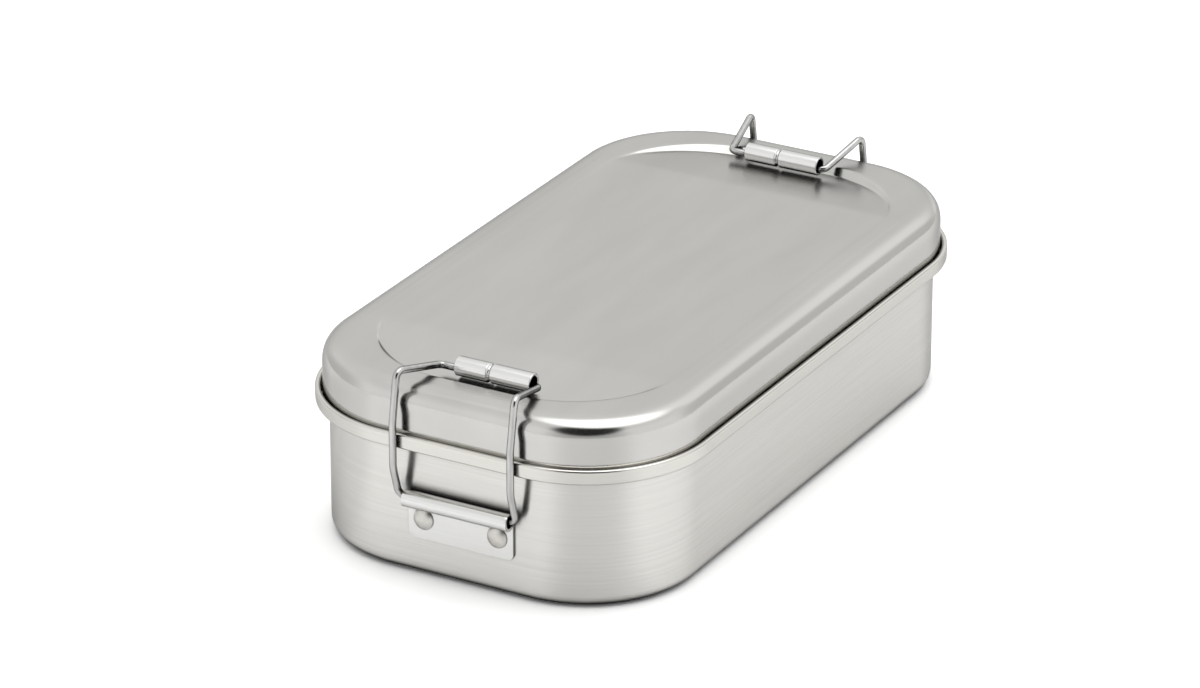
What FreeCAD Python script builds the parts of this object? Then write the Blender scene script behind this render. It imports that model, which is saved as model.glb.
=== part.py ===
import FreeCAD, Part
import math
import os

Vector = FreeCAD.Vector

# A drawn steel lunch box. Millimetres, +Z up, origin at the centre of the base's underside.
# X runs along the length, Y across the width, and a latch sits on each short end.

# Tray: one sheet, deep drawn, with a collar that takes the lid
sheet = 0.7
tray_length = 180.0
tray_width = 97.2
tray_corner = 29.4
base_radius = 3.4
ledge_underside = 34.2
collar_height = 3.8
collar_overhang = 3.45
hem_thickness = 1.5
hem_flat = 0.1
hem_lower_round = 0.6

# Lid: one sheet, drawn, its skirt standing inside the collar
lid_depth = 14.2
shoulder_radius = 4.9
skirt_gap = 0.35
seat_gap = 0.3
border_width = 10.2
recess_corner = 29.0
recess_depth = 2.0
recess_fade = 23.5
recess_wall_lean = 1.1
recess_foot_round = 1.0

# Hinge plate: flat plate riveted to the end wall, its top edge rolled outward into a barrel
latch_offset = 1.3
latch_sheet = 0.7
plate_width = 29.0
plate_drop = 11.2
plate_corner = 1.6
pivot_drop = 12.7
barrel_gap = 0.55
barrel_fit = 0.1
barrel_turn = 305.0

# Rivets
rivet_inset = 4.3
rivet_drop = 5.9
rivet_head = 5.3
rivet_rise = 1.2
rivet_edge = 0.35
rivet_shank = 3.0
rivet_fit = 0.05
tail_width = 4.6
tail_rise = 1.0

# Wire bail
wire = 1.8
leg_side = 1.7
leg_gap = 0.3
knee_drop = 4.5
hip_rise = 3.0
peak_rise = 4.7
peak_out = 2.4
run_spare = 3.2
run_break = 8.0
foot_bend = 2.0
leg_bend = 9.0
peak_bend = 1.9
kink_bend = 1.7

# Grip sleeve: sheet rolled round the bail's inner run, with a pressed groove near its middle
sleeve_width = 4.9
sleeve_sheet = 0.7
sleeve_length = 20.8
sleeve_inset = 13.7
sleeve_gap = 0.5
sleeve_fit = 0.08
sleeve_slip = 1.8
sleeve_seam = 0.3
groove_width = 1.4
groove_depth = 0.55
groove_shift = 1.15

# Sizes that follow from the ones above
half_length = tray_length / 2
half_width = tray_width / 2
collar_top = ledge_underside + collar_height
seat = ledge_underside + sheet
skirt_offset = collar_overhang - hem_thickness - skirt_gap
skirt_bottom = seat + seat_gap
lid_top = skirt_bottom + lid_depth
pivot_height = ledge_underside - pivot_drop
plate_bottom = pivot_height - plate_drop
rivet_height = pivot_height - rivet_drop
barrel_radius = wire / 2 + barrel_gap + latch_sheet
sleeve_bore = sleeve_width / 2 - sleeve_sheet
floor_half = half_length + skirt_offset - border_width
floor_radius = (floor_half ** 2 - (floor_half - recess_fade) ** 2) / (2 * recess_depth)
floor_crown = lid_top + (floor_half - recess_fade) ** 2 / (2 * floor_radius)


def outline(grow, z, length=half_length, width=half_width, corner=tray_corner):
    """A rounded rectangle, moved outward by grow on every side, as a closed wire at height z."""
    turns = ((1, -1), (1, 1), (-1, 1), (-1, -1))
    radius = corner + grow
    arcs = []
    for quarter, (side_x, side_y) in enumerate(turns):
        centre = Vector(side_x * (length - corner), side_y * (width - corner), z)
        points = []
        for step in range(3):
            angle = math.radians(90 * (quarter - 1) + 45 * step)
            points.append(centre + Vector(math.cos(angle), math.sin(angle), 0) * radius)
        arcs.append(points)
    edges = []
    for here, after in zip(arcs, arcs[1:] + arcs[:1]):
        edges.append(Part.Arc(*here).toShape())
        edges.append(Part.LineSegment(here[2], after[0]).toShape())
    return Part.Wire(edges)


def block(grow, bottom, top):
    """A solid with the box's rounded outline between two heights."""
    return Part.Face(outline(grow, bottom)).extrude(Vector(0, 0, top - bottom))


def edges_at(shape, height):
    """The edges of a shape that lie flat at one height."""
    found = []
    for edge in shape.Edges:
        box = edge.BoundBox
        if abs(box.ZMin - height) < 1e-4 and abs(box.ZMax - height) < 1e-4:
            found.append(edge)
    return found


def tray_shell():
    """Wall and base in one draw, stepped out to a ledge and an upstanding hemmed collar."""
    body = block(0, 0, seat)
    body = body.makeFillet(base_radius, edges_at(body, 0))
    collar = block(collar_overhang, ledge_underside, collar_top)
    collar = collar.cut(block(collar_overhang - hem_thickness, seat, collar_top + sheet))
    collar = collar.makeFillet((hem_thickness - hem_flat) / 2, edges_at(collar, collar_top))
    collar = collar.makeFillet(hem_lower_round, edges_at(collar, ledge_underside))
    cavity = block(-sheet, sheet, collar_top + sheet)
    cavity = cavity.makeFillet(base_radius - sheet, edges_at(cavity, sheet))
    tray = body.fuse(collar).cut(cavity)
    for end in (-1, 1):
        for place in rivet_places():
            tray = tray.cut(rivet_hole(place, end))
    return tray.removeSplitter()


def recess_tool(grow):
    """The space pressed out of the lid's top: a sloped border round a panel that dips at both ends."""
    reach = 2 * recess_depth + grow
    side = grow * math.hypot(1, recess_wall_lean)
    length = floor_half
    width = half_width + skirt_offset - border_width
    low = outline(side - reach * recess_wall_lean, lid_top - reach, length, width, recess_corner)
    high = outline(side + reach * recess_wall_lean, lid_top + reach, length, width, recess_corner)
    tool = Part.makeLoft([low, high], True, True)
    radius = floor_radius - grow
    axis_height = floor_crown - floor_radius
    across = tray_width
    panel = Part.makeCylinder(radius, 2 * across, Vector(0, -across, axis_height), Vector(0, 1, 0))
    tool = tool.cut(panel)
    foot = []
    for edge in tool.Edges:
        points = edge.discretize(5)
        if all(abs(math.hypot(p.x, p.z - axis_height) - radius) < 1e-3 for p in points):
            foot.append(edge)
    return tool.makeFillet(recess_foot_round + grow, foot)


def lid_skin(inset):
    """The solid inside one face of the lid's sheet: inset 0 for the outer face, one sheet for the inner."""
    bottom = skirt_bottom - inset
    top = lid_top - inset
    skin = block(skirt_offset - inset, bottom, top)
    skin = skin.makeFillet(shoulder_radius - inset, edges_at(skin, top))
    return skin.cut(recess_tool(inset))


def lid_shell():
    """Skirt, round shoulder, flat border and a top panel pressed down in a crescent at each end."""
    return lid_skin(0).cut(lid_skin(sheet)).removeSplitter()


def on_end(shape, end):
    """A latch piece is drawn on the +X end; the -X end has the same piece turned half round."""
    if end < 0:
        shape = shape.copy()
        shape.rotate(Vector(0, 0, 0), Vector(0, 0, 1), 180)
    return shape


def rivet_places():
    """Where the two rivets of the +X latch stand across the width."""
    spread = plate_width / 2 - rivet_inset
    return latch_offset - spread, latch_offset + spread


def rivet_hole(place, end):
    """A hole for one rivet through the end wall and the plate on it."""
    deep = 4 * sheet + 4 * latch_sheet
    start = Vector(half_length - deep / 2, place, rivet_height)
    hole = Part.makeCylinder(rivet_shank / 2 + rivet_fit, deep, start, Vector(1, 0, 0))
    return on_end(hole, end)


def dome(radius, edge, rise, at, way):
    """Points of a rivet head's half section: a short upright edge under a round cap."""
    crown = rise - edge
    cap = (radius ** 2 + crown ** 2) / (2 * crown)
    half = math.asin(radius / cap)
    centre = rise - cap
    shoulder = Vector(at + way * edge, 0, radius)
    mid = Vector(at + way * (centre + cap * math.cos(half / 2)), 0, cap * math.sin(half / 2))
    top = Vector(at + way * rise, 0, 0)
    return shoulder, mid, top


def rivet(place, end):
    """A round-headed rivet through plate and wall, its tail upset inside the tray."""
    outer = half_length + latch_sheet
    inner = half_length - sheet
    shank = rivet_shank / 2
    head_edge, head_mid, head_top = dome(rivet_head / 2, rivet_edge, rivet_rise, outer, 1)
    tail_edge, tail_mid, tail_top = dome(tail_width / 2, rivet_edge, tail_rise, inner, -1)
    corners = [
        tail_edge,
        Vector(inner, 0, tail_width / 2),
        Vector(inner, 0, shank),
        Vector(outer, 0, shank),
        Vector(outer, 0, rivet_head / 2),
        head_edge,
    ]
    edges = [Part.Arc(tail_top, tail_mid, tail_edge).toShape()]
    for here, after in zip(corners, corners[1:]):
        edges.append(Part.LineSegment(here, after).toShape())
    edges.append(Part.Arc(head_edge, head_mid, head_top).toShape())
    edges.append(Part.LineSegment(head_top, tail_top).toShape())
    section = Part.Face(Part.Wire(edges))
    solid = section.revolve(Vector(0, 0, 0), Vector(1, 0, 0), 360)
    solid.translate(Vector(0, place, rivet_height))
    return on_end(solid, end)


def hinge_plate(end):
    """Flat plate against the wall whose top edge curls out and down round the wire, which hangs from it."""
    centre = Vector(half_length + barrel_radius, 0, pivot_height - barrel_gap + barrel_fit)

    def on_curl(degrees, radius):
        angle = math.radians(degrees)
        return centre + Vector(-math.cos(angle), 0, math.sin(angle)) * radius

    bore = barrel_radius - latch_sheet
    foot_in = Vector(half_length, 0, plate_bottom)
    foot_out = Vector(half_length + latch_sheet, 0, plate_bottom)
    outer = Part.Arc(on_curl(0, barrel_radius), on_curl(barrel_turn / 2, barrel_radius),
                     on_curl(barrel_turn, barrel_radius)).toShape()
    inner = Part.Arc(on_curl(barrel_turn, bore), on_curl(barrel_turn / 2, bore), on_curl(0, bore)).toShape()
    edges = [
        Part.LineSegment(foot_in, on_curl(0, barrel_radius)).toShape(),
        outer,
        Part.LineSegment(on_curl(barrel_turn, barrel_radius), on_curl(barrel_turn, bore)).toShape(),
        inner,
        Part.LineSegment(on_curl(0, bore), foot_out).toShape(),
        Part.LineSegment(foot_out, foot_in).toShape(),
    ]
    plate = Part.Face(Part.Wire(edges)).extrude(Vector(0, plate_width, 0))
    plate.translate(Vector(0, latch_offset - plate_width / 2, 0))
    corners = []
    for edge in plate.Edges:
        box = edge.BoundBox
        across = box.XLength > latch_sheet / 2 and box.YLength < 1e-6 and box.ZLength < 1e-6
        if across and abs(box.ZMin - plate_bottom) < 1e-6:
            corners.append(edge)
    plate = plate.makeFillet(plate_corner, corners)
    plate = on_end(plate, end)
    for place in rivet_places():
        plate = plate.cut(rivet_hole(place, end))
    return plate


def bent_path(points, bends):
    """Straight runs joined by tangent arcs, with one bend radius for each inner point."""
    edges = []
    last = points[0]
    for before, corner, after, radius in zip(points, points[1:], points[2:], bends):
        back = (before - corner).normalize()
        ahead = (after - corner).normalize()
        half = back.getAngle(ahead) / 2
        start = corner + back * (radius / math.tan(half))
        finish = corner + ahead * (radius / math.tan(half))
        inward = (back + ahead).normalize()
        middle = corner + inward * (radius / math.sin(half) - radius)
        edges.append(Part.LineSegment(last, start).toShape())
        edges.append(Part.Arc(start, middle, finish).toShape())
        last = finish
    edges.append(Part.LineSegment(last, points[-1]).toShape())
    return Part.Wire(edges)


def sleeve_axis():
    """Where the sleeve's axis lies, seen along Y: resting just above the dipped panel."""
    x = half_length - sleeve_inset
    panel = floor_crown - x ** 2 / (2 * floor_radius)
    return Vector(x, 0, panel + sleeve_gap + sleeve_width / 2)


def run_place():
    """Where the bail's inner run lies: low in the sleeve's bore, pulling it down on the lid."""
    return sleeve_axis() - Vector(0, 0, sleeve_bore - wire / 2 - sleeve_fit)


def wire_bail(end):
    """One round wire: through the barrel, up outside the collar, over the shoulder, into the sleeve."""
    leg = half_length + collar_overhang + leg_gap + wire / 2
    leg_place = plate_width / 2 + leg_side
    run = run_place()
    side = [
        Vector(run.x, run_break / 2, run.z),
        Vector(run.x, sleeve_length / 2 + run_spare, run.z),
        Vector(half_length + peak_out, leg_place, lid_top + peak_rise),
        Vector(leg, leg_place, collar_top + hip_rise),
        Vector(leg, leg_place, ledge_underside - knee_drop),
        Vector(half_length + barrel_radius, leg_place, pivot_height),
    ]
    mirrored = [Vector(p.x, -p.y, p.z) for p in reversed(side)]
    bends = [kink_bend, peak_bend, leg_bend, leg_bend, foot_bend]
    path = bent_path(side + mirrored, bends + bends[::-1])
    start = Part.Circle(side[0], Vector(0, 1, 0), wire / 2).toShape()
    solid = path.makePipeShell([Part.Wire(start)], True, False)
    solid.translate(Vector(0, latch_offset, 0))
    return on_end(solid, end)


def grip_sleeve(end):
    """Rolled tube, slid along its wire, with a pressed groove off its middle and an open seam underneath."""
    outer = sleeve_width / 2
    half = sleeve_length / 2
    lip = groove_width / 2
    groove = end * groove_shift

    def half_section(side):
        return [
            Vector(side, -half, 0),
            Vector(side, groove - lip, 0),
            Vector(side - groove_depth, groove - lip / 2, 0),
            Vector(side - groove_depth, groove + lip / 2, 0),
            Vector(side, groove + lip, 0),
            Vector(side, half, 0),
        ]

    points = half_section(outer) + half_section(sleeve_bore)[::-1]
    section = Part.Face(Part.makePolygon(points + points[:1]))
    sleeve = section.revolve(Vector(0, 0, 0), Vector(0, 1, 0), 360)
    seam = Part.makeBox(sleeve_seam, sleeve_length, sleeve_width)
    seam.translate(Vector(-sleeve_seam / 2, -half, -sleeve_width))
    sleeve = sleeve.cut(seam)
    sleeve.translate(sleeve_axis() + Vector(0, latch_offset - end * sleeve_slip, 0))
    return on_end(sleeve, end)


os.makedirs("parts", exist_ok=True)
nodes = {"tray_shell": tray_shell(), "lid_shell": lid_shell()}
for name, end in (("front", -1), ("rear", 1)):
    nodes[name + "_hinge_plate"] = hinge_plate(end)
    left, right = rivet_places()
    nodes[name + "_rivet_left"] = rivet(left, end)
    nodes[name + "_rivet_right"] = rivet(right, end)
    nodes[name + "_wire_bail"] = wire_bail(end)
    nodes[name + "_grip_sleeve"] = grip_sleeve(end)
for name, shape in nodes.items():
    print(name, len(shape.Solids), shape.isValid(), round(shape.Volume, 1))
    shape.Solids[0].exportStep("parts/" + name + ".step")
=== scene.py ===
import bpy
import bmesh
import math
from mathutils import Matrix, Vector


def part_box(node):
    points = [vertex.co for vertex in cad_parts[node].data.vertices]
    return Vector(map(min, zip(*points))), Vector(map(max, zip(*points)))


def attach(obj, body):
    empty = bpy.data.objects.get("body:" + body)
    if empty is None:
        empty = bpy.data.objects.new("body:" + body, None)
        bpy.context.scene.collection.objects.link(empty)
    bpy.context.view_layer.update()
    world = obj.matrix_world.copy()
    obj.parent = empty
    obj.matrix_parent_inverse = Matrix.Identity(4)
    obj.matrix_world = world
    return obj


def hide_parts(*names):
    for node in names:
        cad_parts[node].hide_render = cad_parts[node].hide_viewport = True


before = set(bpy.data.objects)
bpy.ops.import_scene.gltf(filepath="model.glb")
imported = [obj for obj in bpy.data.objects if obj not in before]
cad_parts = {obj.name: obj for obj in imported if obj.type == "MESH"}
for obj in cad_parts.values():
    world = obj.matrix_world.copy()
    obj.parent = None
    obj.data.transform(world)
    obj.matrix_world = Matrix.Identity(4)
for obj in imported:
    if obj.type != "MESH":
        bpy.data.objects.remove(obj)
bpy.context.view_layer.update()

# The tray is one stainless sheet, deep drawn. Its wall steps out to a ledge and an upstanding collar whose
# edge is folded over as a hem. Walls carry fine brush lines that run round the box; the collar is polished.
mm = 0.001
tray_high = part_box("tray_shell")[1]
sheet = 0.7 * mm
collar_overhang = 3.45 * mm
collar_height = 3.8 * mm
hem_thickness = 1.5 * mm
hem_lower_round = 0.6 * mm
neck_round = 0.9 * mm
seat_round = 0.3 * mm
base_round = 3.4 * mm
tray_corner = 29.4 * mm
wall_length = tray_high[0] - collar_overhang
wall_width = tray_high[1] - collar_overhang
collar_top = tray_high[2]
ledge = collar_top - collar_height
seat = ledge + sheet


def rounded_loop(length, width, corner, height):
    """One turn round a rounded rectangle, given its half sizes; each turn has the same count of points."""
    arc_steps, side_steps, end_steps = 30, 44, 22
    corners = ((1, -1), (1, 1), (-1, 1), (-1, -1))
    points = []
    for quarter, (side_x, side_y) in enumerate(corners):
        for step in range(arc_steps + 1):
            angle = math.radians(90 * (quarter - 1) + 90 * step / arc_steps)
            x = side_x * (length - corner) + corner * math.cos(angle)
            y = side_y * (width - corner) + corner * math.sin(angle)
            points.append(Vector((x, y, height)))
        run = end_steps if quarter % 2 == 0 else side_steps
        here = points[-1]
        turn = math.radians(90 * quarter)
        next_x, next_y = corners[(quarter + 1) % 4]
        there = Vector((next_x * (length - corner) + corner * math.cos(turn),
                        next_y * (width - corner) + corner * math.sin(turn), height))
        for step in range(1, run):
            points.append(here.lerp(there, step / run))
    return points


def arc(centre, radius, start, finish, steps):
    """Points of an arc in a section, as (distance out, height); angles in degrees from straight out."""
    points = []
    for step in range(steps + 1):
        angle = math.radians(start + (finish - start) * step / steps)
        points.append((centre[0] + radius * math.cos(angle), centre[1] + radius * math.sin(angle)))
    return points


def new_piece(name, mesh_edit):
    """A mesh object from a finished bmesh, smooth all over and linked to the scene."""
    bmesh.ops.recalc_face_normals(mesh_edit, faces=mesh_edit.faces)
    for face in mesh_edit.faces:
        face.smooth = True
    mesh = bpy.data.meshes.new(name)
    mesh_edit.to_mesh(mesh)
    mesh_edit.free()
    piece = bpy.data.objects.new(name, mesh)
    bpy.context.scene.collection.objects.link(piece)
    return piece


def skin(mesh_edit, loops, closed=True):
    """Quads between neighbouring loops; hands back the rows of points and a list of faces for each gap."""
    rows = [[mesh_edit.verts.new(point) for point in loop] for loop in loops]
    bands = []
    for lower, upper in zip(rows, rows[1:]):
        count = len(lower)
        band = []
        for i in range(count if closed else count - 1):
            j = (i + 1) % count
            band.append(mesh_edit.faces.new((lower[i], lower[j], upper[j], upper[i])))
        bands.append(band)
    return rows, bands


def even_normals(piece):
    """Lets flat faces keep their own direction where they meet a narrow bend."""
    even = piece.modifiers.new("even_normals", "WEIGHTED_NORMAL")
    even.weight = 90
    even.keep_sharp = True


def steel(name, colour, roughness, anisotropy=0.0, edge=0.5):
    """Bare stainless steel, darker at its edges; hands back its node tree and shader for the finish."""
    material = bpy.data.materials.new(name)
    material.use_nodes = True
    tree = material.node_tree
    shader = tree.nodes["Principled BSDF"]
    shader.inputs["Metallic"].default_value = 1.0
    shader.inputs["Base Color"].default_value = (*colour, 1.0)
    shader.inputs["Roughness"].default_value = roughness
    shader.inputs["Specular Tint"].default_value = (edge, edge, edge, 1.0)
    shader.inputs["Anisotropic"].default_value = anisotropy
    return material, tree, shader


def streaks(tree, stretch, detail=3.0):
    """Noise drawn out into fine lines: stretch gives lines per metre along X, Y and Z."""
    place = tree.nodes.new("ShaderNodeTexCoord")
    mapping = tree.nodes.new("ShaderNodeMapping")
    mapping.inputs["Scale"].default_value = stretch
    noise = tree.nodes.new("ShaderNodeTexNoise")
    noise.inputs["Scale"].default_value = 1.0
    noise.inputs["Detail"].default_value = detail
    noise.inputs["Roughness"].default_value = 0.6
    tree.links.new(place.outputs["Object"], mapping.inputs["Vector"])
    tree.links.new(mapping.outputs["Vector"], noise.inputs["Vector"])
    return noise.outputs["Fac"]


def spread(tree, value, low, high):
    """Maps a noise value onto a range."""
    ranged = tree.nodes.new("ShaderNodeMapRange")
    ranged.interpolation_type = "SMOOTHSTEP"
    ranged.inputs["From Min"].default_value = 0.2
    ranged.inputs["From Max"].default_value = 0.8
    ranged.inputs["To Min"].default_value = low
    ranged.inputs["To Max"].default_value = high
    tree.links.new(value, ranged.inputs["Value"])
    return ranged.outputs["Result"]


def tint(tree, shader, value, dark, light):
    """Lets a noise value move the metal's colour between two close tones."""
    ramp = tree.nodes.new("ShaderNodeValToRGB")
    ramp.color_ramp.interpolation = "EASE"
    ramp.color_ramp.elements[0].position = 0.2
    ramp.color_ramp.elements[0].color = (*dark, 1.0)
    ramp.color_ramp.elements[1].position = 0.8
    ramp.color_ramp.elements[1].color = (*light, 1.0)
    tree.links.new(value, ramp.inputs["Fac"])
    tree.links.new(ramp.outputs["Color"], shader.inputs["Base Color"])


def paint_close_shade(tree, shader, reach, deep, clear=0.8):
    """Paints shade into the metal's colour where other metal stands close over it, within reach."""
    near = tree.nodes.new("ShaderNodeAmbientOcclusion")
    near.samples = 8
    near.inputs["Distance"].default_value = reach
    open_air = tree.nodes.new("ShaderNodeMapRange")
    open_air.inputs["From Min"].default_value = 0.3
    open_air.inputs["From Max"].default_value = clear
    open_air.inputs["To Min"].default_value = deep
    tree.links.new(near.outputs["AO"], open_air.inputs["Value"])
    painted_shade = tree.nodes.new("ShaderNodeMix")
    painted_shade.data_type = "RGBA"
    painted_shade.blend_type = "MULTIPLY"
    painted_shade.inputs["Factor"].default_value = 1.0
    tree.links.new(shader.inputs["Base Color"].links[0].from_socket, painted_shade.inputs["A"])
    tree.links.new(open_air.outputs["Result"], painted_shade.inputs["B"])
    tree.links.new(painted_shade.outputs["Result"], shader.inputs["Base Color"])


def relief(tree, shader, value, depth, strength):
    """Raises a noise value as fine relief, depth in metres."""
    bump = tree.nodes.new("ShaderNodeBump")
    bump.inputs["Distance"].default_value = depth
    bump.inputs["Strength"].default_value = strength
    tree.links.new(value, bump.inputs["Height"])
    tree.links.new(bump.outputs["Normal"], shader.inputs["Normal"])


brush_tone_dark = (0.715, 0.705, 0.675)
brush_tone_light = (0.785, 0.775, 0.745)
brush_stretch = (24, 24, 1700)
wall_steel, tree, shader = steel("brushed_wall_steel", brush_tone_light, roughness=0.27, anisotropy=0.9)
quarter_turn = 0.25
shader.inputs["Anisotropic Rotation"].default_value = quarter_turn
along = tree.nodes.new("ShaderNodeTangent")
along.direction_type = "RADIAL"
along.axis = "Z"
tree.links.new(along.outputs["Tangent"], shader.inputs["Tangent"])
brush_lines = streaks(tree, brush_stretch, detail=4.0)
tint(tree, shader, brush_lines, brush_tone_dark, brush_tone_light)
# Painted shade: the wall's colour is darkened where the table, plates or collar stand close.
paint_close_shade(tree, shader, reach=3.5 * mm, deep=0.04)

polished_dark = (0.700, 0.688, 0.645)
polished_light = (0.745, 0.732, 0.688)
collar_stretch = (90, 90, 2600)
collar_steel, tree, shader = steel("polished_collar_steel", polished_light, roughness=0.25)
collar_lines = streaks(tree, collar_stretch)
tint(tree, shader, collar_lines, polished_dark, polished_light)
tree.links.new(spread(tree, collar_lines, low=0.17, high=0.22), shader.inputs["Roughness"])
relief(tree, shader, collar_lines, depth=0.003 * mm, strength=0.25)

outside_base = arc((-base_round, base_round), base_round, -90, 0, 14)
wall_rise = ledge - neck_round - base_round
wall_steps = 8
outside_wall = [(0, base_round + wall_rise * step / wall_steps) for step in range(1, wall_steps)]
outside_neck = arc((neck_round, ledge - neck_round), neck_round, 180, 90, 8)
collar_foot = arc((collar_overhang - hem_lower_round, ledge + hem_lower_round), hem_lower_round, -90, 0, 8)
hem_round = hem_thickness / 2
hem = arc((collar_overhang - hem_round, collar_top - hem_round), hem_round, 0, 180, 18)
inside_collar = collar_overhang - hem_thickness
seat_corner = arc((inside_collar - seat_round, seat + seat_round), seat_round, 0, -90, 5)
inside_neck = arc((neck_round, ledge - neck_round), neck_round + sheet, 90, 180, 8)
inside_wall = [(-sheet, ledge - neck_round - wall_rise * step / wall_steps) for step in range(1, wall_steps)]
inside_base = arc((-base_round, base_round), base_round - sheet, 0, -90, 12)
outside = outside_base + outside_wall
rim = outside_neck + collar_foot + hem + seat_corner + inside_neck
section = outside + rim + inside_wall + inside_base

tray_mesh = bmesh.new()
loops = []
for out, height in section:
    loops.append(rounded_loop(wall_length + out, wall_width + out, tray_corner + out, height))
rows, bands = skin(tray_mesh, loops)
tray_mesh.faces.new(rows[0])
tray_mesh.faces.new(rows[-1])
polish_start = len(outside) + 4
polish_finish = len(outside) + len(rim) - 2
for band in bands[polish_start:polish_finish]:
    for face in band:
        face.material_index = 1
tray = new_piece("drawn_tray", tray_mesh)
tray.data.materials.append(wall_steel)
tray.data.materials.append(collar_steel)
even_normals(tray)
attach(tray, "tray")
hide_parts("tray_shell")

# Each hinge plate is a strip of bright stainless sheet held to the end wall by two rivets. Its top edge is
# rolled outward and down into a barrel for the wire, and its lower corners are rounded.
plate_low, plate_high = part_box("rear_hinge_plate")
plate_sheet = 0.7 * mm
plate_corner = 1.6 * mm
barrel_turn = 305
barrel_radius = (plate_high[0] - plate_low[0]) / 2
barrel_height = plate_high[2] - barrel_radius
plate_middle = (plate_low[1] + plate_high[1]) / 2
plate_half = (plate_high[1] - plate_low[1]) / 2
plate_edge_round = 0.1 * mm
plate_edge_angle = math.radians(50)

strip_dark = (0.760, 0.755, 0.740)
strip_light = (0.810, 0.805, 0.790)
strip_stretch = (1500, 60, 1500)
strip_steel, tree, shader = steel("bright_strip_steel", strip_light, roughness=0.24)
strip_lines = streaks(tree, strip_stretch)
tint(tree, shader, strip_lines, strip_dark, strip_light)
tree.links.new(spread(tree, strip_lines, low=0.2, high=0.26), shader.inputs["Roughness"])
# Painted shade: the plate's edges and barrel underside darken where they lie close to the wall.
paint_close_shade(tree, shader, reach=3.0 * mm, deep=0.08)
relief(tree, shader, strip_lines, depth=0.002 * mm, strength=0.2)


def at_end(piece, end):
    """A latch piece is drawn for the rear end; the front one is the same piece turned half round."""
    if end == "front":
        piece.data.transform(Matrix.Rotation(math.pi, 4, "Z"))
    return piece


def plate_rows():
    """Rows across the strip's middle surface, from the lower edge up the plate and round the barrel."""
    middle = plate_sheet / 2
    foot = plate_low[2]
    corner_steps, rise_steps, curl_steps = 8, 6, 44
    line = []
    for step in range(corner_steps + 1):
        angle = math.radians(90 * step / corner_steps)
        rise = plate_corner * (1 - math.cos(angle))
        line.append((plate_low[0] + middle, foot + rise, plate_half - plate_corner * (1 - math.sin(angle))))
    for step in range(1, rise_steps):
        height = foot + plate_corner + (barrel_height - foot - plate_corner) * step / rise_steps
        line.append((plate_low[0] + middle, height, plate_half))
    for step in range(curl_steps + 1):
        angle = math.radians(barrel_turn * step / curl_steps)
        radius = barrel_radius - middle
        x = plate_low[0] + barrel_radius - radius * math.cos(angle)
        line.append((x, barrel_height + radius * math.sin(angle), plate_half))
    return line


for end in ("front", "rear"):
    plate_mesh = bmesh.new()
    columns = 28
    loops = []
    for x, height, half in plate_rows():
        across = [2 * column / columns - 1 for column in range(columns + 1)]
        loops.append([Vector((x, plate_middle + half * share, height)) for share in across])
    skin(plate_mesh, loops, closed=False)
    plate = at_end(new_piece(end + "_plate", plate_mesh), end)
    thick = plate.modifiers.new("sheet", "SOLIDIFY")
    thick.thickness = plate_sheet
    thick.offset = 0.0
    edge = plate.modifiers.new("edge", "BEVEL")
    edge.width = plate_edge_round
    edge.segments = 2
    edge.limit_method = "ANGLE"
    edge.angle_limit = plate_edge_angle
    even_normals(plate)
    plate.data.materials.append(strip_steel)
    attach(plate, "tray")
    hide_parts(end + "_hinge_plate")

# Each rivet is soft stainless: a low domed head on the plate, a shank through plate and wall, and a tail
# upset to a second dome inside the tray. The heads are rubbed a little duller than the plate.
rivet_edge = 0.35 * mm
rivet_rise = 1.2 * mm
rivet_rim = 0.14 * mm
tail_rise = 1.0 * mm
tail_width = 4.6 * mm
shank_share = 0.28

rivet_dark = (0.615, 0.598, 0.560)
rivet_light = (0.725, 0.706, 0.665)
scuff_stretch = (900, 900, 900)
rivet_steel, tree, shader = steel("rubbed_rivet_steel", rivet_light, roughness=0.3)
rivet_scuffs = streaks(tree, scuff_stretch, detail=4.0)
tint(tree, shader, rivet_scuffs, rivet_dark, rivet_light)
tree.links.new(spread(tree, rivet_scuffs, low=0.28, high=0.36), shader.inputs["Roughness"])
relief(tree, shader, rivet_scuffs, depth=0.01 * mm, strength=0.3)


def dome_section(radius, rise):
    """Half section of a head from crown to foot: a round cap, a small rim round and an upright edge."""
    crown = rise - rivet_edge
    cap = (radius ** 2 + crown ** 2) / (2 * crown)
    reach = math.asin((radius - rivet_rim) / cap)
    points = []
    cap_steps = 14
    for step in range(1, cap_steps + 1):
        angle = reach * step / cap_steps
        points.append((cap * math.sin(angle), rise - cap + cap * math.cos(angle)))
    points.append((radius - rivet_rim * 0.3, rivet_edge + rivet_rim * 0.1))
    points.append((radius, rivet_edge - rivet_rim * 0.4))
    points.append((radius, 0.0))
    return points


for end in ("front", "rear"):
    for side in ("left", "right"):
        low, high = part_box(end + "_rivet_" + side)
        outward = 1 if end == "rear" else -1
        head_face = wall_length + plate_sheet
        tail_face = wall_length - sheet
        head_dome = dome_section((high[2] - low[2]) / 2, rivet_rise)
        tail_dome = dome_section(tail_width / 2, tail_rise)
        head = [(radius, head_face + out) for radius, out in head_dome]
        tail = [(radius, tail_face - out) for radius, out in tail_dome]
        shank = (high[2] - low[2]) * shank_share
        line = head + [(shank, head_face), (shank, tail_face)] + tail[::-1]
        centre_y = (low[1] + high[1]) / 2
        centre_z = (low[2] + high[2]) / 2
        rivet_mesh = bmesh.new()
        turns = 48
        loops = []
        for radius, out in line:
            loop = []
            for turn in range(turns):
                angle = 2 * math.pi * turn / turns
                y = centre_y + radius * math.cos(angle)
                z = centre_z + radius * math.sin(angle)
                loop.append(Vector((outward * out, y, z)))
            loops.append(loop)
        rows = skin(rivet_mesh, loops)[0]
        rivet_mesh.faces.new(rows[0])
        rivet_mesh.faces.new(rows[-1])
        rivet = new_piece(end + "_" + side + "_rivet", rivet_mesh)
        even_normals(rivet)
        rivet.data.materials.append(rivet_steel)
        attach(rivet, "tray")
        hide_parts(end + "_rivet_" + side)

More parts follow.
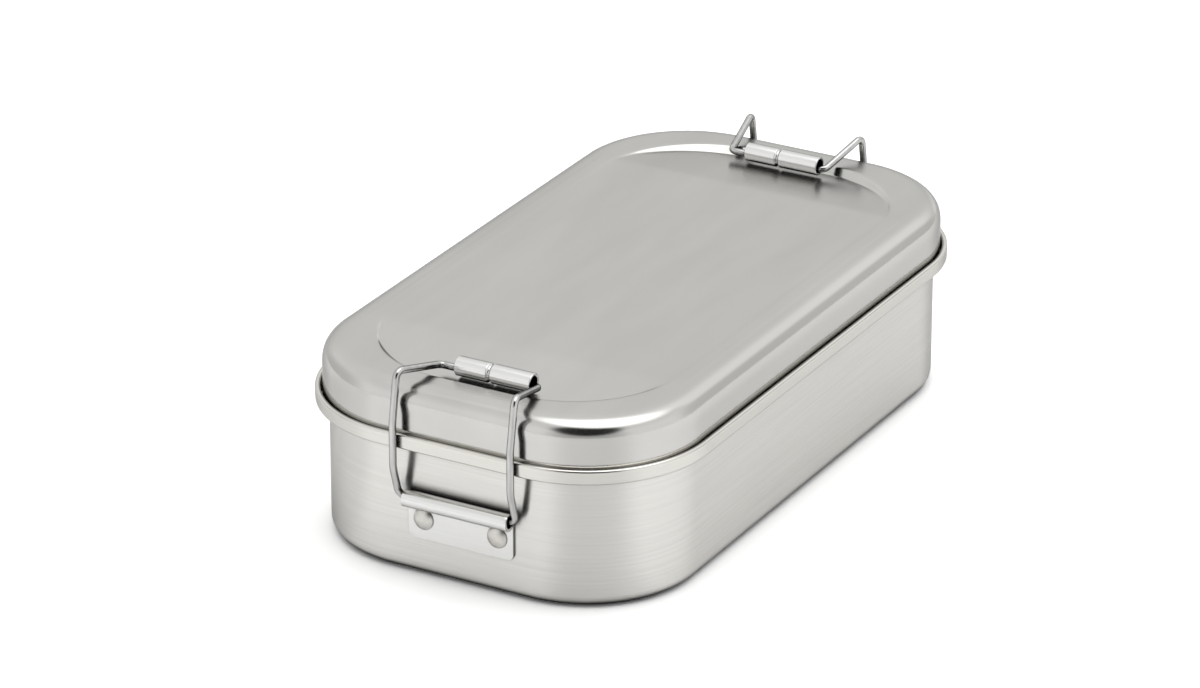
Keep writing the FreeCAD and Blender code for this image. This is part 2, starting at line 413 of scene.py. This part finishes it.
# Each bail is one polished stainless wire, bent to shape. Its foot lies in the plate's barrel, its legs bow
# out past the collar and peak above the shoulder, and its two ends lie a little apart inside the sleeve.
bail_low, bail_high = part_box("rear_wire_bail")
lid_low, lid_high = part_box("lid_shell")
sleeve_low, sleeve_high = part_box("rear_grip_sleeve")
wire_radius = 0.9 * mm
bail_middle = (bail_low[1] + bail_high[1]) / 2
leg_place = (bail_high[1] - bail_low[1]) / 2 - wire_radius
leg_out = bail_high[0] - wire_radius
foot_height = bail_low[2] + wire_radius
foot_out = plate_low[0] + barrel_radius
knee_height = ledge - 4.5 * mm
hip_height = collar_top + 3.0 * mm
peak_out = wall_length + 2.4 * mm
peak_height = lid_high[2] + 4.7 * mm
kink_place = 13.6 * mm
run_break = 8.0 * mm
sleeve_axis_x = sleeve_high[0] - (sleeve_high[2] - sleeve_low[2]) / 2
sleeve_axis_z = (sleeve_low[2] + sleeve_high[2]) / 2
sleeve_radius = (sleeve_high[2] - sleeve_low[2]) / 2
sleeve_sheet = 0.7 * mm
sleeve_play = 0.08 * mm
run_sag = sleeve_radius - sleeve_sheet - wire_radius - sleeve_play
kink_bend = 1.7 * mm
peak_bend = 1.9 * mm
leg_bend = 9.0 * mm
foot_bend = 2.0 * mm

wire_dark = (0.500, 0.495, 0.485)
wire_light = (0.660, 0.655, 0.645)
mark_stretch = (700, 700, 160)
wire_steel, tree, shader = steel("polished_wire_steel", wire_light, roughness=0.12, edge=0.1)
wire_marks = streaks(tree, mark_stretch, detail=4.0)
tint(tree, shader, wire_marks, wire_dark, wire_light)
tree.links.new(spread(tree, wire_marks, low=0.09, high=0.16), shader.inputs["Roughness"])
# Painted shade: the wire's colour goes nearly black where it lies close to the box.
paint_close_shade(tree, shader, reach=6.0 * mm, deep=0.04, clear=0.97)
relief(tree, shader, wire_marks, depth=0.006 * mm, strength=0.3)


def bent_line(points, bends):
    """Straight runs joined by tangent arcs, sampled closely round each bend."""
    line = [points[0]]
    bend_steps = 12
    for before, corner, after, radius in zip(points, points[1:], points[2:], bends):
        back = (before - corner).normalized()
        ahead = (after - corner).normalized()
        half = back.angle(ahead) / 2
        reach = radius / math.tan(half)
        centre = corner + (back + ahead).normalized() * (radius / math.sin(half))
        start = corner + back * reach - centre
        sweep = math.pi - 2 * half
        turn = back.cross(ahead).normalized()
        for step in range(bend_steps + 1):
            line.append(centre + Matrix.Rotation(-sweep * step / bend_steps, 3, turn) @ start)
    line.append(points[-1])
    return line


def round_wire(mesh_edit, line, radius, sides=24):
    """A tube along a line of points, its section carried along without twist and its ends closed flat."""
    ahead = (line[1] - line[0]).normalized()
    across = ahead.orthogonal().normalized()
    loops = []
    for index, point in enumerate(line):
        before = line[max(index - 1, 0)]
        after = line[min(index + 1, len(line) - 1)]
        heading = (after - before).normalized()
        across = (across - heading * across.dot(heading)).normalized()
        other = heading.cross(across)
        angles = [2 * math.pi * side / sides for side in range(sides)]
        loops.append([point + (across * math.cos(a) + other * math.sin(a)) * radius for a in angles])
    rows = skin(mesh_edit, loops)[0]
    mesh_edit.faces.new(rows[0])
    mesh_edit.faces.new(rows[-1])


for end in ("front", "rear"):
    run_z = sleeve_axis_z - run_sag
    side = [
        Vector((sleeve_axis_x, run_break / 2, run_z)),
        Vector((sleeve_axis_x, kink_place, run_z)),
        Vector((peak_out, leg_place, peak_height)),
        Vector((leg_out, leg_place, hip_height)),
        Vector((leg_out, leg_place, knee_height)),
        Vector((foot_out, leg_place, foot_height)),
    ]
    other_side = [Vector((p.x, -p.y, p.z)) for p in reversed(side)]
    bends = [kink_bend, peak_bend, leg_bend, leg_bend, foot_bend]
    line = [p + Vector((0, bail_middle, 0)) for p in bent_line(side + other_side, bends + bends[::-1])]
    bail_mesh = bmesh.new()
    round_wire(bail_mesh, line, wire_radius)
    bail = at_end(new_piece(end + "_bail_wire", bail_mesh), end)
    even_normals(bail)
    bail.data.materials.append(wire_steel)
    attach(bail, end + "_bail")
    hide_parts(end + "_wire_bail")

# Each grip sleeve is a strip of stainless rolled into a tube round the wire, with its seam underneath. A
# groove pressed round it lies between the wire's two ends and keeps it from sliding off; it turns freely.
groove_width = 1.4 * mm
groove_depth = 0.55 * mm
groove_shift = 1.15 * mm
seam_gap = 0.3 * mm
sleeve_edge = 0.16 * mm
groove_fullness = 0.6

sleeve_dark = (0.800, 0.795, 0.785)
sleeve_light = (0.840, 0.835, 0.825)
sleeve_stretch = (1300, 130, 1300)
sleeve_steel, tree, shader = steel("rolled_sleeve_steel", sleeve_light, roughness=0.2, edge=0.2)
sleeve_lines = streaks(tree, sleeve_stretch)
tint(tree, shader, sleeve_lines, sleeve_dark, sleeve_light)
tree.links.new(spread(tree, sleeve_lines, low=0.21, high=0.26), shader.inputs["Roughness"])
# Painted shade: the sleeve's colour darkens where other metal lies close to it.
paint_close_shade(tree, shader, reach=3.0 * mm, deep=0.1)
relief(tree, shader, sleeve_lines, depth=0.002 * mm, strength=0.15)


def sleeve_side(radius, half, groove, steps=10):
    """One face of the tube's section from end to end, dipping in a smooth groove."""
    points = [(-half + sleeve_edge, radius)]
    for step in range(steps + 1):
        share = 2 * step / steps - 1
        dip = groove_depth * (0.5 + 0.5 * math.cos(math.pi * share)) ** groove_fullness
        points.append((groove + share * groove_width / 2, radius - dip))
    points.append((half - sleeve_edge, radius))
    return points


for end in ("front", "rear"):
    low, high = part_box(end + "_grip_sleeve")
    half = (high[1] - low[1]) / 2
    axis_x = sleeve_axis_x if end == "rear" else -sleeve_axis_x
    centre = Vector((axis_x, (low[1] + high[1]) / 2, sleeve_axis_z))
    outer = sleeve_side(sleeve_radius, half, groove_shift)
    inner = sleeve_side(sleeve_radius - sleeve_sheet, half, groove_shift)
    lip_in = sleeve_radius - sleeve_sheet + sleeve_edge
    lip_out = sleeve_radius - sleeve_edge
    section = outer + [(half, lip_out), (half, lip_in)] + inner[::-1] + [(-half, lip_in), (-half, lip_out)]
    turns = 72
    opening = seam_gap / sleeve_radius
    loops = []
    for turn in range(turns + 1):
        angle = -math.pi / 2 + opening / 2 + (2 * math.pi - opening) * turn / turns
        loop = []
        for y, radius in section:
            loop.append(centre + Vector((radius * math.cos(angle), y, radius * math.sin(angle))))
        loops.append(loop)
    sleeve_mesh = bmesh.new()
    rows = skin(sleeve_mesh, loops)[0]
    sleeve_mesh.faces.new(rows[0])
    sleeve_mesh.faces.new(rows[-1])
    sleeve = new_piece(end + "_sleeve", sleeve_mesh)
    even_normals(sleeve)
    sleeve.data.materials.append(sleeve_steel)
    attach(sleeve, end + "_grip")
    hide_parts(end + "_grip_sleeve")

# The lid is one drawn stainless sheet, with its skirt inside the collar and a round shoulder, both burnished
# by the drawing. Its satin top panel is pressed down in a crescent at each end, so that the latch's sleeve
# drops over an edge and holds.
shoulder_run = 10.2 * mm
border = 10.2 * mm
recess_corner = 29.0 * mm
recess_depth = 2.0 * mm
recess_fade = 23.5 * mm
recess_lean = 1.1
crest_round = 0.3 * mm
foot_round = 0.2 * mm
fade_round = 0.04 * mm
lid_length = lid_high[0]
lid_width = lid_high[1]
lid_top = lid_high[2]
lid_corner = tray_corner + lid_length - wall_length
panel_end = lid_length - border
panel_flat = panel_end - recess_fade
panel_radius = (panel_end ** 2 - panel_flat ** 2) / (2 * recess_depth)


def eased(value, width):
    """A value that is held at zero below zero, with a smooth turn of the given width."""
    return (value + math.sqrt(value * value + width * width)) / 2


def pressed(x, inside):
    """How deep the top panel lies at a place that far inside the border's edge."""
    step = eased(inside, crest_round) / recess_lean
    dip = eased((x * x - panel_flat * panel_flat) / (2 * panel_radius), fade_round)
    return dip - eased(dip - step, foot_round)


def shoulder_section(run, steps):
    """The shoulder's line from skirt to top, as (distance out, height), bending in and out gradually."""
    parts = 20
    out, rise = 0.0, 0.0
    points = [(out, rise)]
    for step in range(steps):
        for part in range(parts):
            share = (step + (part + 0.5) / parts) / steps
            lean = math.pi / 2 * share * share * (3 - 2 * share)
            out -= math.sin(lean) * run / (steps * parts)
            rise += math.cos(lean) * run / (steps * parts)
        points.append((out, rise))
    return points


shoulder_steps = 44
shoulder_line = shoulder_section(shoulder_run, shoulder_steps)
shoulder = shoulder_line[-1][1]
lid_loops = []
skirt_steps = 5
for step in range(skirt_steps):
    height = lid_low[2] + (lid_top - shoulder - lid_low[2]) * step / skirt_steps
    lid_loops.append(rounded_loop(lid_length, lid_width, lid_corner, height))
for out, rise in shoulder_line:
    height = lid_top - shoulder + rise
    lid_loops.append(rounded_loop(lid_length + out, lid_width + out, lid_corner + out, height))
border_steps = 6
fine_start = -1.2 * mm
fine_finish = 3.9 * mm
fine_step = 0.15 * mm
fine_count = int((fine_finish - fine_start) / fine_step) + 1
insides = []
for step in range(1, border_steps):
    insides.append(shoulder - border + (fine_start - shoulder + border) * step / border_steps)
insides += [fine_start + fine_step * step for step in range(fine_count)]
coarse_step = 1.3 * mm
while insides[-1] < panel_end - panel_flat + 2 * coarse_step:
    insides.append(insides[-1] + coarse_step)
flat_corner = lid_corner - shoulder
for inside in insides:
    reach = border + inside
    if inside < 0:
        share = (reach - shoulder) / (border - shoulder)
        corner = flat_corner + (recess_corner - flat_corner) * share
    else:
        corner = recess_corner - inside
    loop = rounded_loop(lid_length - reach, lid_width - reach, corner, lid_top)
    for point in loop:
        point.z -= pressed(point.x, inside)
    lid_loops.append(loop)

lid_mesh = bmesh.new()
rows = skin(lid_mesh, lid_loops)[0]
lid_mesh.faces.new(rows[-1])
for edge in lid_mesh.edges:
    edge.smooth = not edge.is_boundary
lid = new_piece("drawn_lid", lid_mesh)
thick = lid.modifiers.new("sheet", "SOLIDIFY")
thick.thickness = sheet
thick.offset = -1.0

lid_dark = (0.592, 0.585, 0.564)
lid_light = (0.640, 0.632, 0.610)
cloud_stretch = (14, 60, 60)
flat_from = 0.9
burnished = 0.16
lid_steel, tree, shader = steel("satin_lid_steel", lid_light, roughness=0.24)
lid_clouds = streaks(tree, cloud_stretch, detail=2.0)
tint(tree, shader, lid_clouds, lid_dark, lid_light)
panel_satin = spread(tree, lid_clouds, low=0.265, high=0.225)
lid_way = tree.nodes.new("ShaderNodeTexCoord")
lid_parts = tree.nodes.new("ShaderNodeSeparateXYZ")
tree.links.new(lid_way.outputs["Normal"], lid_parts.inputs["Vector"])
flat = tree.nodes.new("ShaderNodeMapRange")
flat.interpolation_type = "SMOOTHSTEP"
flat.inputs["From Min"].default_value = flat_from
flat.inputs["From Max"].default_value = 1.0
tree.links.new(lid_parts.outputs["Z"], flat.inputs["Value"])
finish = tree.nodes.new("ShaderNodeMix")
finish.inputs["A"].default_value = burnished
tree.links.new(flat.outputs["Result"], finish.inputs["Factor"])
tree.links.new(panel_satin, finish.inputs["B"])
tree.links.new(finish.outputs["Result"], shader.inputs["Roughness"])
lid.data.materials.append(lid_steel)
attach(lid, "lid")
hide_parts("lid_shell")

# The box stands on a plain white table that runs out of view. It shows white to the lens and a little less
# white to the metal. Painted shade darkens it before the two front corners, seen only in the metal, and it
# keeps the soft shadow under the box.
table_reach = 3.0
table_drop = 0.05 * mm
table_mesh = bmesh.new()
bmesh.ops.create_circle(table_mesh, cap_ends=True, segments=64, radius=table_reach)
table = new_piece("table", table_mesh)
table.location.z = -table_drop
table_white = (0.86, 0.86, 0.86, 1.0)
table_seen = (1.36, 1.36, 1.36, 1.0)
metal_share = 0.3
table_paint = bpy.data.materials.new("white_table")
table_paint.use_nodes = True
tree = table_paint.node_tree
paint = tree.nodes.new("ShaderNodeBsdfDiffuse")
ray = tree.nodes.new("ShaderNodeLightPath")
mirrored = tree.nodes.new("ShaderNodeMath")
mirrored.operation = "MULTIPLY"
mirrored.inputs[1].default_value = metal_share
glossy = tree.nodes.new("ShaderNodeMath")
glossy.operation = "MAXIMUM"
seen = tree.nodes.new("ShaderNodeMath")
seen.operation = "MAXIMUM"
tone = tree.nodes.new("ShaderNodeMix")
tone.data_type = "RGBA"
tone.inputs["A"].default_value = table_white
tone.inputs["B"].default_value = table_seen
tree.links.new(ray.outputs["Is Camera Ray"], glossy.inputs[0])
tree.links.new(ray.outputs["Is Glossy Ray"], mirrored.inputs[0])
tree.links.new(mirrored.outputs[0], glossy.inputs[1])
tree.links.new(glossy.outputs[0], seen.inputs[0])
tree.links.new(ray.outputs["Is Transmission Ray"], seen.inputs[1])
tree.links.new(seen.outputs[0], tone.inputs["Factor"])
table_place = tree.nodes.new("ShaderNodeTexCoord")


def paint_corner_shade(colour, centre, toward, edge, core, grey):
    """Paints a sector of shade on the table before a corner of the box, seen only in the metal; in degrees.
    """
    offset = tree.nodes.new("ShaderNodeVectorMath")
    offset.operation = "SUBTRACT"
    offset.inputs[1].default_value = centre
    tree.links.new(table_place.outputs["Object"], offset.inputs[0])
    direction = tree.nodes.new("ShaderNodeVectorMath")
    direction.operation = "NORMALIZE"
    tree.links.new(offset.outputs["Vector"], direction.inputs[0])
    aim = tree.nodes.new("ShaderNodeVectorMath")
    aim.operation = "DOT_PRODUCT"
    heading = math.radians(toward)
    aim.inputs[1].default_value = (math.cos(heading), math.sin(heading), 0)
    tree.links.new(direction.outputs["Vector"], aim.inputs[0])
    soft = tree.nodes.new("ShaderNodeMapRange")
    soft.interpolation_type = "SMOOTHSTEP"
    soft.inputs["From Min"].default_value = math.cos(math.radians(edge))
    soft.inputs["From Max"].default_value = math.cos(math.radians(core))
    tree.links.new(aim.outputs["Value"], soft.inputs["Value"])
    share = tree.nodes.new("ShaderNodeMath")
    share.operation = "MULTIPLY"
    tree.links.new(soft.outputs["Result"], share.inputs[0])
    tree.links.new(ray.outputs["Is Glossy Ray"], share.inputs[1])
    dim = tree.nodes.new("ShaderNodeMix")
    dim.data_type = "RGBA"
    dim.inputs["B"].default_value = (grey, grey, grey, 1)
    tree.links.new(share.outputs[0], dim.inputs["Factor"])
    tree.links.new(colour, dim.inputs["A"])
    return dim.outputs["Result"]


corner_x = wall_length - tray_corner
corner_y = wall_width - tray_corner
near_corner = (-corner_x, -corner_y, 0)
left_corner = (-corner_x, corner_y, 0)
# Painted shade on the table before the near and left corners, seen only in the metal.
near_shade = paint_corner_shade(tone.outputs["Result"], near_corner, toward=-146, edge=40, core=6, grey=0.80)
left_shade = paint_corner_shade(near_shade, left_corner, toward=118, edge=30, core=8, grey=0.86)
tree.links.new(left_shade, paint.inputs["Color"])
tree.links.new(paint.outputs["BSDF"], tree.nodes["Material Output"].inputs["Surface"])
table.data.materials.append(table_paint)

# The light is a pale studio with walls of an even white and one broad soft lamp overhead. Soft patches
# tone the walls: dark above the lens, dim low round the lens and at both sides, bright beyond the far end.
lens_turn = math.radians(-60.703)
lens_tilt = math.radians(24.262)
back = Vector((math.sin(lens_turn) * math.cos(lens_tilt), -math.cos(lens_turn) * math.cos(lens_tilt),
               math.sin(lens_tilt)))
world = bpy.data.worlds.new("pale_studio")
bpy.context.scene.world = world
world.use_nodes = True
tree = world.node_tree
sky = tree.nodes["Background"]
way = tree.nodes.new("ShaderNodeTexCoord")
parts = tree.nodes.new("ShaderNodeSeparateXYZ")
tree.links.new(way.outputs["Generated"], parts.inputs["Vector"])
wall_foot = (0.97, 0.97, 0.97, 1)
wall_white = (1.0, 1.0, 1.0, 1)
ceiling_grey = (0.80, 0.80, 0.80, 1)
white_height = 0.4
walls = tree.nodes.new("ShaderNodeValToRGB")
walls.color_ramp.elements[0].position = 0.0
walls.color_ramp.elements[0].color = wall_foot
walls.color_ramp.elements[1].position = 1.0
walls.color_ramp.elements[1].color = ceiling_grey
middle = walls.color_ramp.elements.new(white_height)
middle.color = wall_white
tree.links.new(parts.outputs["Z"], walls.inputs["Fac"])


def patch(toward, edge, core):
    """How far a direction lies within a soft round patch: 0 outside its edge, 1 at its core; in degrees."""
    aim = tree.nodes.new("ShaderNodeVectorMath")
    aim.operation = "DOT_PRODUCT"
    aim.inputs[1].default_value = Vector(toward).normalized()
    tree.links.new(way.outputs["Generated"], aim.inputs[0])
    soft = tree.nodes.new("ShaderNodeMapRange")
    soft.interpolation_type = "SMOOTHSTEP"
    soft.inputs["From Min"].default_value = math.cos(math.radians(edge))
    soft.inputs["From Max"].default_value = math.cos(math.radians(core))
    tree.links.new(aim.outputs["Value"], soft.inputs["Value"])
    return soft.outputs["Result"]


def shade_patch(colour, factor, tone):
    """Lays one soft patch of a single tone over the studio's walls."""
    mix = tree.nodes.new("ShaderNodeMix")
    mix.data_type = "RGBA"
    tree.links.new(factor, mix.inputs["Factor"])
    tree.links.new(colour, mix.inputs["A"])
    mix.inputs["B"].default_value = (tone, tone, tone, 1)
    return mix.outputs["Result"]


low_right = patch((0.8, -0.58, 0.18), edge=30, core=8)
low_far = patch((1.0, 0.1, 0.0), edge=16, core=6)
high_far = patch((0.79, -0.1, 0.62), edge=24, core=6)
low_left = patch((-0.1, 1.0, 0.1), edge=38, core=10)
low_lens = patch((back.x, back.y, 0.12), edge=42, core=13)
above_lens = patch((back.x, back.y, 0.72), edge=32, core=21)
overhead = patch((0.06, -0.14, 0.98), edge=37, core=21)
studio = shade_patch(walls.outputs["Color"], low_right, tone=0.74)
studio = shade_patch(studio, low_far, tone=1.4)
studio = shade_patch(studio, high_far, tone=1.12)
studio = shade_patch(studio, low_left, tone=0.72)
studio = shade_patch(studio, low_lens, tone=0.52)
studio = shade_patch(studio, above_lens, tone=0.02)
studio = shade_patch(studio, overhead, tone=2.0)
tree.links.new(studio, sky.inputs["Color"])
sky.inputs["Strength"].default_value = 1.0

# The lens stands off the near corner, well back, and looks down on the lid. Its long focal length keeps the
# far end of the box nearly as large as the near one.
lens = bpy.data.cameras.new("lens")
lens.sensor_width = 36.0
lens.lens = 178.18
lens.clip_end = 20.0
camera = bpy.data.objects.new("camera", lens)
bpy.context.scene.collection.objects.link(camera)
right = Vector((math.cos(lens_turn), math.sin(lens_turn), 0))
up = back.cross(right)
lens_place = (-1.18813, -0.65535, 0.63962)
facing = Matrix((right, up, back)).transposed().to_4x4()
camera.matrix_world = Matrix.Translation(lens_place) @ facing
bpy.context.scene.camera = camera
bpy.context.scene.view_settings.view_transform = "Standard"
